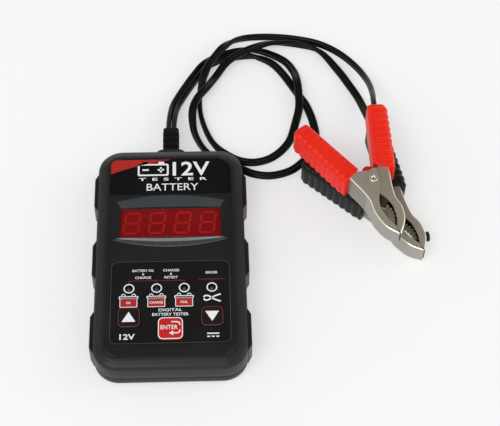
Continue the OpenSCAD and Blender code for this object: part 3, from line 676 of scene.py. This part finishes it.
# grip: height and length; sides at the jaw end, underside and top; first rib, rib pitch and number;
# spacing of its rings, wall above and below the pocket for the spring bush, and pocket radius
GRIP_H, GRIP_L = 15, 38.5
OUT_X, IN_X, GRIP_LOW, GRIP_HIGH = -4.7, 6.0, 0.5, 14.47
RIB_FROM, RIB_PITCH, RIBS = 4.3, 3.8, 9
GRIP_STEP, GRIP_WALL, POCKET_R = 0.3, 0.85, 10
MID = GRIP_H / 2
# jaw: fold radius and plate thickness, where and how far it tapers, and the panels of its plates
FOLD_R, WALL = 0.85, 1
TAPER_FROM, TAPER_L, TAPER = -10, 23, 0.26
PANELS, PANEL_L = 7, 3.3
TOOTH_STEPS, RIDGE_PITCH = 12, 0.95
WIRE_R, COIL_R, COIL_PITCH, COIL_STEPS = 0.55, 4.8, 1.35, 24

# kind, outer edge, lens-shaped opening, back, low and high plate, and side of the pressed halves
MOVING = ("moving",
          ((-12.4, 9.2), (-10.6, 4), (-9.6, 0.5), (-8, -5), (-7, -11.5), (-7.5, -18.5), (-5.6, -27),
           (-1.2, -33)),
          ((-0.8, -28.6), (-2.6, -24), (-3.5, -18.5), (-3, -13.5), (-0.5, -8.4)),
          ((2.9, -1.8), (3.9, 5.2), (3.1, 6.2), (0.1, 5.4), (-5.4, 6.7), (-7.6, 12.2)), 1, 14, 1)
FIXED = ("fixed",
         ((12.4, 9.2), (10.6, 4), (9.6, 0.5), (7.4, -7), (6.4, -13), (7.1, -18.5), (5.2, -26), (-0.2, -32.8)),
         ((-0.3, -28.6), (2.1, -23), (2.8, -17), (2, -12.4), (0, -8.7)),
         ((-2.5, -5), (-5.2, -1), (-5, 3), (-2, 5.2), (5.6, 6.5), (7.6, 12.2)), 2.2, 12.8, -1)

# strips along the folds and the web, counted from the low plate, that carry a painted highlight or painted
# shade
FOLD_HIGHLIGHT_SLOT, SHADED_WEB_SLOT = 1, 2
FOLD_PAINT = {1: FOLD_HIGHLIGHT_SLOT, 2: FOLD_HIGHLIGHT_SLOT, 4: SHADED_WEB_SLOT, 6: FOLD_HIGHLIGHT_SLOT, 7: FOLD_HIGHLIGHT_SLOT}
FOLD_TURNS = (90, 68, 45, 22, 0)


def tapered(bm):
    """Plates, webs and teeth get lower towards the tip."""
    for v in bm.verts:
        if v.co.y < TAPER_FROM:
            v.co.z = MID + (v.co.z - MID) * (1 - TAPER * (TAPER_FROM - v.co.y) / TAPER_L)


def channel(curve, rest, z0, z1, side):
    """Pressed channel: two plates folded over from a web along curve; rest closes the outline."""
    bm = bmesh.new()
    outer = curve_through(curve, 6)
    inward = []
    for i in range(len(outer)):
        d = (outer[min(i + 1, len(outer) - 1)] - outer[max(i - 1, 0)]).normalized()
        inward.append(side * Vector((-d.y, d.x)))
    inward[0] = (rest[-1] - outer[0]).normalized()
    inward[-1] = (rest[0] - outer[-1]).normalized() * 1.1
    inner = [p + q for p, q in zip(outer, inward)]
    back = [inner[-1], *rest, inner[0]]
    wrap = []
    for z, turn, angles in ((z0, 1, FOLD_TURNS), (z1, -1, reversed(FOLD_TURNS))):
        for a in angles:
            away, rise = FOLD_R * (1 - cos(radians(a))), FOLD_R * (1 - sin(radians(a)))
            wrap.append(row(bm, [p + away * q for p, q in zip(outer, inward)], z + turn * rise))
    for k, (a, b) in enumerate(zip(wrap, wrap[1:])):
        strip(bm, a, b, FOLD_PAINT.get(k, 0), closed=False)
    b0, b1, b2, b3 = [row(bm, back, z) for z in (z0, z0 + WALL, z1 - WALL, z1)]
    w1, w2 = [row(bm, inner[1:-1], z) for z in (z0 + WALL, z1 - WALL)]
    bm.faces.new([*wrap[0], *b0])
    bm.faces.new([*wrap[-1], *b3])
    in1, in2 = [b1[-1], *w1, b1[0]], [b2[-1], *w2, b2[0]]
    strip(bm, in1, in2, closed=False)
    bm.faces.new([*in1, *b1[1:-1]])
    bm.faces.new([*in2, *b2[1:-1]])
    strip(bm, b0, b1, closed=False)
    strip(bm, b2, b3, closed=False)
    # the web's two end faces, with the short plate edges above and below them
    for o, i in ((-1, 0), (0, -1)):
        bm.faces.new([*[w[o] for w in wrap], b3[i], b2[i], b1[i], b0[i]])
    # the big plate faces are cut into panels, so that the taper bends them evenly
    for k in range(PANELS):
        bmesh.ops.bisect_plane(bm, geom=[*bm.verts, *bm.edges, *bm.faces],
                               plane_co=(0, TAPER_FROM - PANEL_L * k, 0), plane_no=(0, 1, 0))
    tapered(bm)
    return bm, outer


def teeth(side):
    """Toothed insert of the half whose web is on side: a smooth back and a curved row of teeth."""
    root, back = 1.3, ((4.9, -12), (5.5, -18.5), (3.6, -25.5))
    if side < 0:
        root, back = 1.9, ((-5.9, -12), (-6.2, -18.5), (-4.4, -26))
    edge = []
    for k in range(TOOTH_STEPS, -1, -1):
        edge.append((side * (root + 1.5 * sin(pi * k / TOOTH_STEPS) - (k % 2)), -13 - k))
    bm = bmesh.new()
    prism(bm, [*curve_through(back, 4), *edge], 3.6, 10)
    tapered(bm)
    return bm


def ridges(outer):
    """Fine upright ridges on the web, next to the grip."""
    bm = bmesh.new()
    walked, n = 0.0, 0
    for a, b in zip(outer, outer[1:]):
        d = (b - a).normalized()
        out = Vector((d.y, -d.x))
        step = (b - a).length
        while n * RIDGE_PITCH < walked + step:
            c = a + d * (n * RIDGE_PITCH - walked)
            if -9 < c.y < 3.4:
                prism(bm, [c - d * 0.26 - out * 0.2, c - d * 0.17 + out * 0.26, c + out * 0.32,
                           c + d * 0.17 + out * 0.26, c + d * 0.26 - out * 0.2], 2, 13)
            n += 1
        walked += step
    return bm


def fade(x):
    """1 at x = 0, and down to 0 at x = 1 and beyond it."""
    return max(0.0, 1 - x)


def rounding(x):
    """How far a quarter circle of radius 1 has pulled in at x, from 0 to 1 along it."""
    return 1 - sqrt(fade(x * x))


def grip():
    """Ribbed sleeve in the handle's own frame: x towards the other handle, y along the handle."""
    bm = bmesh.new()
    rings = []
    for k in range(int(GRIP_L / GRIP_STEP) + 1):
        y = GRIP_STEP * k
        t = y / GRIP_L
        lip, start = fade(y / 2.6), fade(y / 0.9)
        end, corner = fade((GRIP_L - y) / 1.8), fade((GRIP_L - y) / 3.6)
        pull = 1.5 * rounding(end) + 0.5 * rounding(start)
        out_x = OUT_X - 0.05 * t - 0.45 * lip + pull + 1.3 * rounding(corner)
        in_x = IN_X - 0.95 * t - pull
        low, high = GRIP_LOW + pull - 0.25 * lip, GRIP_HIGH - pull + 0.25 * lip
        # rib raises the underside and top, and bulge the outer side
        phase = (y - RIB_FROM) / RIB_PITCH
        rib = bulge = 0.0
        if -0.5 < phase < RIBS - 0.6:
            rib = 0.5 + 0.5 * cos(2 * pi * phase)
            bulge = abs(cos(pi * phase)) ** 0.8
        r = 2.4 - 0.9 * end
        shift = -0.3 + (GRIP_L + 1.2) * t
        ring = []
        for px, pz in rounded(in_x - out_x, high - low, r, 12, ((in_x + out_x) / 2, (low + high) / 2)):
            share = min(1.0, 0.4 + fade((px - out_x + 1.2) / (in_x - out_x)) * 1.2) * (px < in_x - 0.9)
            dx = -0.85 * bulge * (px < out_x + r) * (1 - abs(pz - MID) / (MID + 6))
            dz = (0.5 if pz > MID else -0.5) * rib * share * (abs(pz - MID) > MID - r - 0.8)
            shear = (1 - t) ** 6 * 0.11 * (px + 5)
            ring.append((px + dx, shift + shear, pz + dz))
        rings.append(ring)
    skin(bm, rings)
    return bm


def cut_pocket(grip_piece, at):
    """Cuts the round pocket that clears the spring bush out of the jaw end of a grip."""
    bm = bmesh.new()
    lathe(bm, ((POCKET_R, GRIP_WALL), (POCKET_R, GRIP_H - GRIP_WALL)), 64)
    moved(bm, at)
    bmesh.ops.recalc_face_normals(bm, faces=bm.faces)
    bmesh.ops.scale(bm, vec=(MM, MM, MM), verts=bm.verts)
    mesh = bpy.data.meshes.new("cutter")
    bm.to_mesh(mesh)
    bm.free()
    cutter = bpy.data.objects.new("cutter", mesh)
    scene.collection.objects.link(cutter)
    cut = grip_piece.modifiers.new("Pocket", "BOOLEAN")
    cut.operation = "DIFFERENCE"
    cut.solver = "EXACT"
    cut.object = cutter
    whole = grip_piece.data
    seen = grip_piece.evaluated_get(bpy.context.evaluated_depsgraph_get())
    grip_piece.data = bpy.data.meshes.new_from_object(seen)
    grip_piece.data.set_sharp_from_angle(angle=radians(50))
    grip_piece.modifiers.remove(cut)
    bpy.data.meshes.remove(whole)
    bpy.data.objects.remove(cutter)
    bpy.data.meshes.remove(mesh)


def half_clamp(hue, body, at, vinyl, kind, edge, lens, back, low, high, side):
    """Jaw, teeth and grip of one half of a clamp, and the ridges of the moving one."""
    rest = [*curve_through(lens, 5), *map(Vector, back)]
    bm, outer = channel(edge, rest, low, high, side)
    moved(bm, at)
    jaw = build(f"{hue}_jaw_{kind}_pressed", bm, STEEL, body, (f"{hue}_jaw_{kind}",),
                bevel=0.18, steps=2, angle=40)
    # slots for the painted highlight along the folds and the painted shade on the web
    jaw.data.materials.append(FOLD_HIGHLIGHT)
    jaw.data.materials.append(SHADED_WEB)
    bm = teeth(-side)
    moved(bm, at)
    build(f"{hue}_teeth_{kind}_cut", bm, SHADED_TOOTH, body, (f"{hue}_teeth_{kind}",),
          bevel=0.15, steps=2)
    if kind == "moving":
        bm = ridges(outer)
        moved(bm, at)
        build(f"{hue}_jaw_ridges", bm, SHADED_WEB, body, angle=60)
    bm = grip()
    moved(bm, at @ (to_handle if kind == "moving" else flip @ to_handle))
    sleeve = build(f"{hue}_grip_{kind}_ribbed", bm, vinyl, body, (f"{hue}_grip_{kind}",),
                   angle=55)
    cut_pocket(sleeve, at)


# radius and height, from the dimple in the rolled head down to the foot
RIVET_PROFILE = ((0.3, 14.3), (0.75, 14.35), (0.95, 14.5), (1.1, 14.74), (1.3, 14.87), (1.55, 14.9),
                 (1.8, 14.84), (2.02, 14.66), (2.16, 14.4), (2.2, 14.05), (1.5, 14.0), (1.5, 0.95),
                 (2.2, 0.9), (2.2, 0.75), (2.05, 0.45), (1.7, 0.2), (0.6, 0.2))
COIL_Z, LEG_Z = 4.1, 8.1


def spring(hue, at, handle):
    """Torsion spring: a coil with its fixed leg, and the leg that pushes the moving handle."""
    coil = [(14, 22, COIL_Z, 0), (9, 8, COIL_Z, 0)]
    for k in range(3 * COIL_STEPS + 1):
        a = radians(-20 - 360 * k / COIL_STEPS)
        coil.append((COIL_R * cos(a), COIL_R * sin(a), COIL_Z + COIL_PITCH * k / COIL_STEPS, 0))
    bm = bmesh.new()
    sweep(bm, coil, circle(WIRE_R, 10))
    moved(bm, at)
    build(f"{hue}_spring_coil_wire", bm, SPRING, "tester", (f"{hue}_spring_coil",), angle=60)
    bm = bmesh.new()
    sweep(bm, ((-6.2, 1.2, LEG_Z, 0), (-9, 8, LEG_Z, 0), (-14, 22, LEG_Z, 0)), circle(WIRE_R, 10))
    moved(bm, at)
    build(f"{hue}_spring_leg_wire", bm, SPRING, handle, (f"{hue}_spring_leg",), angle=60)


for hue, at, vinyl, bush_paint in (("red", at_red, RED, BUSH), ("black", at_black, BLACK, BLACK)):
    handle = f"{hue}_handle"
    half_clamp(hue, handle, at, vinyl, *MOVING)
    half_clamp(hue, "tester", at, vinyl, *FIXED)
    bm = bmesh.new()
    lathe(bm, RIVET_PROFILE, 48)
    moved(bm, at)
    build(f"{hue}_rivet_turned", bm, RIVET, "tester", (f"{hue}_rivet",), angle=50)
    softened(f"{hue}_spring_bush", bush_paint, "tester", 0.4)
    spring(hue, at, handle)
    paint_node(f"{hue}_crimp", COPPER)
softened("black_stud", BLACK, "tester", 0.5)

# ------------ print on the labels and keys
INK_T, INK_SUNK = 0.035, 0.02
LABEL_Z, KEY_Z = 18.75, 19.0
BOLD = 0.012


def words(bm, text, at, height, z, width=None, bold=BOLD, gap=1.0):
    """text as a thin closed relief about at, height tall, and width wide if given."""
    data = bpy.data.curves.new("words", "FONT")
    data.body = text
    data.align_x = "CENTER"
    data.offset = bold
    data.space_character = gap
    data.extrude = 0.01
    data.resolution_u = 3
    holder = bpy.data.objects.new("words", data)
    scene.collection.objects.link(holder)
    bpy.context.view_layer.update()
    shape = bpy.data.meshes.new_from_object(holder.evaluated_get(bpy.context.evaluated_depsgraph_get()))
    bpy.data.objects.remove(holder)
    xs, ys = [v.co.x for v in shape.vertices], [v.co.y for v in shape.vertices]
    ky = height / (max(ys) - min(ys))
    kx = width / (max(xs) - min(xs)) if width else ky
    mx, my = (max(xs) + min(xs)) / 2, (max(ys) + min(ys)) / 2
    for v in shape.vertices:
        rise = INK_T if v.co.z > 0 else -INK_SUNK
        v.co = ((v.co.x - mx) * kx + at[0], (v.co.y - my) * ky + at[1], z + rise)
    bm.from_mesh(shape)
    bpy.data.meshes.remove(shape)


def patch(bm, pts, z, holes=()):
    """Printed area with the outline pts, and holes."""
    prism(bm, pts, z - INK_SUNK, z + INK_T, holes)


def frame_line(bm, w, l, r, thick, at, z, n=3):
    """Printed line round a rounded w by l rectangle, thick wide, inside it."""
    patch(bm, rounded(w, l, r[0], n, at), z, [rounded(w - 2 * thick, l - 2 * thick, r[1], n, at)])


def stroke(bm, pts, w, z):
    """Printed line of width w through pts, with square ends."""
    pts = [Vector(p) for p in pts]
    one_side, other_side = [], []
    for i, p in enumerate(pts):
        a, b = pts[max(i - 1, 0)], pts[min(i + 1, len(pts) - 1)]
        d1 = (p - a).normalized() if i else (b - p).normalized()
        d2 = (b - p).normalized() if i < len(pts) - 1 else d1
        m = (d1 + d2).normalized()
        out = Vector((-m.y, m.x)) * (w / 2 / max(0.3, m.dot(d1)))
        one_side.append(p + out)
        other_side.append(p - out)
    patch(bm, [*one_side, *reversed(other_side)], z)


white, red_ink, dark_ink, grey_ink_and_edge_highlight = [bmesh.new() for _ in range(4)]

# upper label: a red wedge, a battery sign and generic words
wedge_top = [(-8.5, 55.2), (-18, 55.2), (-26.6, 55.2), (-27.9, 54.8), (-29, 53.8), (-29.6, 52.3)]
wedge_low = curve_through([(-29.6, 46.6), (-24.7, 48.6), (-17.5, 51), (-8.5, 53.3), (0.4, 55.2)], 5)
patch(red_ink, [wedge_low[-1], *wedge_top, *wedge_low[:-1]], LABEL_Z)
frame_line(white, 15.4, 7.4, (0.9, 0.5), 0.9, (-8.6, 48.9), LABEL_Z, 4)
for x in (-12.6, -4.6):
    patch(white, rounded(3, 1.3, 0.3, 3, (x, 53.2)), LABEL_Z)
for ends in (((-14, 48.9), (-10.8, 48.9)), ((-6.4, 48.9), (-3.2, 48.9)), ((-4.8, 50.5), (-4.8, 47.3))):
    stroke(white, ends, 0.95, LABEL_Z)
words(white, "12V", (10.3, 49.4), 8.6, LABEL_Z, 18.4, bold=0.016)
words(white, "TESTER", (1.2, 43.1), 1.7, LABEL_Z, 34, bold=0.02, gap=1.9)
words(grey_ink_and_edge_highlight, "BATTERY", (1, 38.3), 4.4, LABEL_Z, 26)
words(white, "BATTERY", (1, 38.3), 4.15, LABEL_Z + 0.02, 25.4, bold=0.0)

# captions, and the voltage by the keys: text, x, y, height and width
for text, x, y, height, width in (
        ("BATTERY OK", -12.9, -10.4, 1.35, 10.2), ("&", -12.9, -12.4, 1.15, None),
        ("CHARGE", -12.9, -14.3, 1.35, 7.6), ("CHARGE", 0.3, -10.4, 1.35, 7.6),
        ("&", 0.3, -12.4, 1.15, None), ("RETEST", 0.3, -14.3, 1.35, 6.4), ("ERROR", 19.5, -12, 1.35, 5.6),
        ("DIGITAL", 0, -32.1, 1.55, 11), ("BATTERY TESTER", 0, -34.5, 1.55, 16.9)):
    words(white, text, (x, y), height, LABEL_Z, width)
words(white, "12V", (-19.9, -46.1), 3, LABEL_Z, 7.1, bold=0.02)
# bracket lines from the captions to the lights, and the rings round the lights
for pts in (((-19.5, -17.3), (-19.5, -16.1), (6.5, -16.1), (6.5, -17.3)), ((-6.5, -15.2), (-6.5, -17.3)),
            ((13.2, -15.7), (25.8, -15.7)), ((19.5, -15.7), (19.5, -17.2))):
    stroke(dark_ink, pts, 0.3, LABEL_Z)
for x in LED_XS:
    patch(white, circle(2.55, 40, (x, LED_Y)), LABEL_Z, [circle(1.98, 40, (x, LED_Y))])
# battery signs under three lights
for x, text, width in ((-19.6, "OK", 2.3), (-6.6, "CHARGE", 6.4), (6.4, "FAIL", 3.4)):
    frame_line(white, 8.3, 4.9, (0.35, 0.15), 0.35, (x, -28), LABEL_Z)
    patch(red_ink, rounded(7.5, 4.1, 0.1, 3, (x, -28)), LABEL_Z)
    patch(white, rounded(9.1, 1.45, 0.3, 3, (x, -25.1)), LABEL_Z, [rounded(8.2, 0.6, 0.1, 3, (x, -25.1))])
    for dx in (-2.4, 2.4):
        turns = [radians(a) for a in range(0, 181, 20)]
        stroke(white, [(x + dx + 0.85 * cos(a), -24.2 + 0.95 * sin(a)) for a in turns], 0.4, LABEL_Z)
    words(white, text, (x, -28), 1.35, LABEL_Z + 0.03, width)
# clamp sign: two crossing curves and a rivet; x, and y from its middle line
CLAMP_SIGN = ((15.6, 0.35), (16.4, 1.25), (18.0, 1.0), (19.4, -0.1), (21.2, -1.1), (23.6, -2.0))
for flipped in (1, -1):
    stroke(white, curve_through([(x, -26 + dy * flipped) for x, dy in CLAMP_SIGN], 4), 0.75, LABEL_Z)
patch(red_ink, circle(0.45, 16, (19.3, -26)), LABEL_Z + 0.02)
# direct current sign
stroke(white, [(16.9, -45.1), (22.5, -45.1)], 0.65, LABEL_Z)
for x in (16.9, 19.0, 21.1):
    stroke(white, [(x, -46.7), (x + 1.4, -46.7)], 0.65, LABEL_Z)
# painted highlight along the raised edge of the keypad overlay
frame_line(grey_ink_and_edge_highlight, 56.2, 44.6, (3.3, 3.05), 0.25, (0, -27.5), LABEL_Z, 8)
for name, ink, paint in (("print_white", white, WHITE), ("print_red", red_ink, INK_RED),
                         ("print_dark_red", dark_ink, INK_DARK), ("print_grey_and_painted_highlight", grey_ink_and_edge_highlight, INK_GREY_AND_HIGHLIGHT)):
    build(name, ink, paint, "tester", angle=40)

# print on the keys
for name, body, turn in (("key_up", "up_key", 1), ("key_down", "down_key", -1)):
    x, y, w = KEYS[name]
    bm = bmesh.new()
    frame_line(bm, w - 0.4, w - 0.4, (2.2, 1.95), 0.3, (x, y), KEY_Z - 0.02, 8)
    build(name + "_border", bm, INK_DARK, body, angle=40)
    bm = bmesh.new()
    patch(bm, [(x - 3.2, y - 2.5 * turn), (x + 3.2, y - 2.5 * turn), (x, y + 2.9 * turn)], KEY_Z)
    build(name + "_arrow", bm, WHITE, body, angle=40)
x, y, w = KEYS["key_enter"]
bm = bmesh.new()
frame_line(bm, w - 0.3, w - 0.3, (2.25, 1.9), 0.45, (x, y), KEY_Z - 0.02, 8)
words(bm, "ENTER", (x - 0.6, y + 0.5), 2.2, KEY_Z, 8)
# the arrow: over the word, down its right side, and back to a head under it
for pts in (((0.4, 3.3), (2.8, 3.3), (4.1, 2.8), (4.3, 1.6)), ((4.3, -1), (4.1, -2.1), (3, -2.6), (1, -2.6))):
    stroke(bm, curve_through([(x + dx, y + dy) for dx, dy in pts], 3), 0.6, KEY_Z)
patch(bm, [(x + 1.3, y - 1.3), (x - 0.6, y - 2.6), (x + 1.3, y - 3.9)], KEY_Z)
build("key_enter_print", bm, WHITE, "enter_key", angle=40)

# ------------ nodes shown with their CAD shape
for name, paint in (("circuit_board", BOARD), ("board_screws", SCREW), ("case_screws", SCREW),
                    ("microcontroller", CHIP), ("voltage_regulator", CHIP), ("capacitors", CAN),
                    ("load_resistor", CERAMIC), ("inner_wires", WIRE), ("tact_switches", CHIP),
                    ("switch_button_up", CHIP), ("switch_button_down", CHIP), ("switch_button_enter", CHIP)):
    paint_node(name, paint)

# ------------ floor
FLOOR_HALF = 3
corners = [(x, y, 0) for x, y in ((-1, -1), (1, -1), (1, 1), (-1, 1))]
floor = bpy.data.meshes.new("floor")
floor.from_pydata([Vector(c) * FLOOR_HALF for c in corners], [], [(0, 1, 2, 3)])
ground = bpy.data.objects.new("floor", floor)
scene.collection.objects.link(ground)
ground.location.z = -0.0002
paper = material("floor_pale", (0.50, 0.50, 0.50), (0.505, 0.505, 0.505), 0.9, grain=200, bump=0.0, spec=0.0,
                 blotch=3)
shine = paper.node_tree.nodes["Principled BSDF"]
shine.inputs["Emission Color"].default_value = (1, 1, 1, 1)
shine.inputs["Emission Strength"].default_value = 0.46
floor.materials.append(paper)

bpy.context.view_layer.update()
